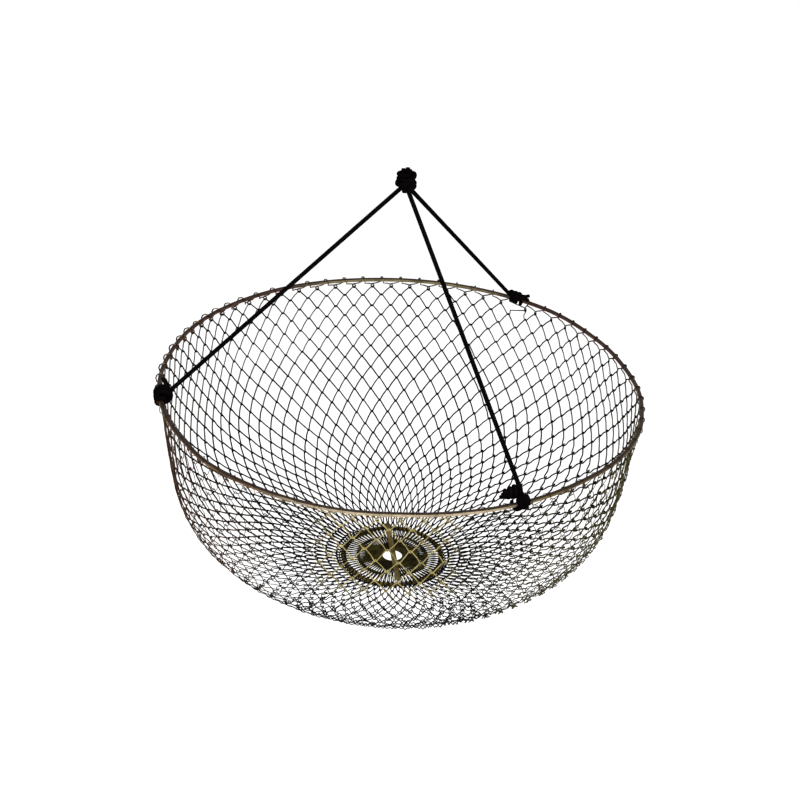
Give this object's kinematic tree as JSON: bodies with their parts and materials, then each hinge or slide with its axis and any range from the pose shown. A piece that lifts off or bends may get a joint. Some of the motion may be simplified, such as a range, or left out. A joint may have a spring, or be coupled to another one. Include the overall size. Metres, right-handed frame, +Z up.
{
  "type": "crab hoop net",
  "caption": "Collapsible wire-mesh crab net: a round hoop carries a basket of linked wire rows with a bait ring and bar in its base, hung from a rope bridle.",
  "frame": {"origin": "on the hoop's axis, inside the apex knot that the net hangs from", "axes": "+Z up along the hoop's axis; +X to the right and -Y towards the viewer of the picture"},
  "size_m": [0.515, 0.515, 0.4664],
  "materials": {
    "hoop_wire": "weathered brown",
    "net_wire": "dark oiled wire",
    "base_wire": "dark olive wire",
    "rope": "matte black braid"
  },
  "bodies": {
    "frame": {"hoop": "hoop_wire", "apex_knot": "rope", "bridle_leg_left": "rope", "bridle_leg_back": "rope", "bridle_leg_front": "rope", "hitch_left": "rope", "hitch_back": "rope", "hitch_front": "rope", "net_row_01": "net_wire"},
    "base": {"bait_ring": "base_wire", "bait_bar": "base_wire", "centre_ring": "base_wire", "centre_row": "net_wire"},
    "row_02": {"net_row_02": "net_wire"},
    "row_03": {"net_row_03": "net_wire"},
    "row_04": {"net_row_04": "net_wire"},
    "row_05": {"net_row_05": "net_wire"},
    "row_06": {"net_row_06": "net_wire"},
    "row_07": {"net_row_07": "net_wire"},
    "row_08": {"net_row_08": "net_wire"},
    "row_09": {"net_row_09": "net_wire"},
    "row_10": {"net_row_10": "net_wire"},
    "row_11": {"net_row_11": "net_wire"},
    "row_12": {"net_row_12": "net_wire"}
  },
  "joints": [
    {"name": "net_collapse", "type": "slide", "parent": "frame", "child": "base", "axis": [0, 0, 1], "range_m": [0, 0.19], "deforming": ["net_row_01"]},
    {"name": "row_02_lift", "type": "slide", "parent": "frame", "child": "row_02", "axis": [0, 0, 1], "range_m": [0, 0.0218], "deforming": ["net_row_02"]},
    {"name": "row_03_lift", "type": "slide", "parent": "frame", "child": "row_03", "axis": [0, 0, 1], "range_m": [0, 0.0436], "deforming": ["net_row_03"]},
    {"name": "row_04_lift", "type": "slide", "parent": "frame", "child": "row_04", "axis": [0, 0, 1], "range_m": [0, 0.0656], "deforming": ["net_row_04"]},
    {"name": "row_05_lift", "type": "slide", "parent": "frame", "child": "row_05", "axis": [0, 0, 1], "range_m": [0, 0.0875], "deforming": ["net_row_05"]},
    {"name": "row_06_lift", "type": "slide", "parent": "frame", "child": "row_06", "axis": [0, 0, 1], "range_m": [0, 0.1091], "deforming": ["net_row_06"]},
    {"name": "row_07_lift", "type": "slide", "parent": "frame", "child": "row_07", "axis": [0, 0, 1], "range_m": [0, 0.1288], "deforming": ["net_row_07"]},
    {"name": "row_08_lift", "type": "slide", "parent": "frame", "child": "row_08", "axis": [0, 0, 1], "range_m": [0, 0.1455], "deforming": ["net_row_08"]},
    {"name": "row_09_lift", "type": "slide", "parent": "frame", "child": "row_09", "axis": [0, 0, 1], "range_m": [0, 0.1584], "deforming": ["net_row_09"]},
    {"name": "row_10_lift", "type": "slide", "parent": "frame", "child": "row_10", "axis": [0, 0, 1], "range_m": [0, 0.1681], "deforming": ["net_row_10"]},
    {"name": "row_11_lift", "type": "slide", "parent": "frame", "child": "row_11", "axis": [0, 0, 1], "range_m": [0, 0.176], "deforming": ["net_row_11"]},
    {"name": "row_12_lift", "type": "slide", "parent": "frame", "child": "row_12", "axis": [0, 0, 1], "range_m": [0, 0.183], "deforming": ["net_row_12"]}
  ],
  "couplings": [
    {"joint": "row_02_lift", "follows": "net_collapse", "ratio": 0.1134},
    {"joint": "row_03_lift", "follows": "net_collapse", "ratio": 0.2284},
    {"joint": "row_04_lift", "follows": "net_collapse", "ratio": 0.344},
    {"joint": "row_05_lift", "follows": "net_collapse", "ratio": 0.4594},
    {"joint": "row_06_lift", "follows": "net_collapse", "ratio": 0.573},
    {"joint": "row_07_lift", "follows": "net_collapse", "ratio": 0.6764},
    {"joint": "row_08_lift", "follows": "net_collapse", "ratio": 0.7647},
    {"joint": "row_09_lift", "follows": "net_collapse", "ratio": 0.8322},
    {"joint": "row_10_lift", "follows": "net_collapse", "ratio": 0.8833},
    {"joint": "row_11_lift", "follows": "net_collapse", "ratio": 0.925},
    {"joint": "row_12_lift", "follows": "net_collapse", "ratio": 0.962}
  ]
}
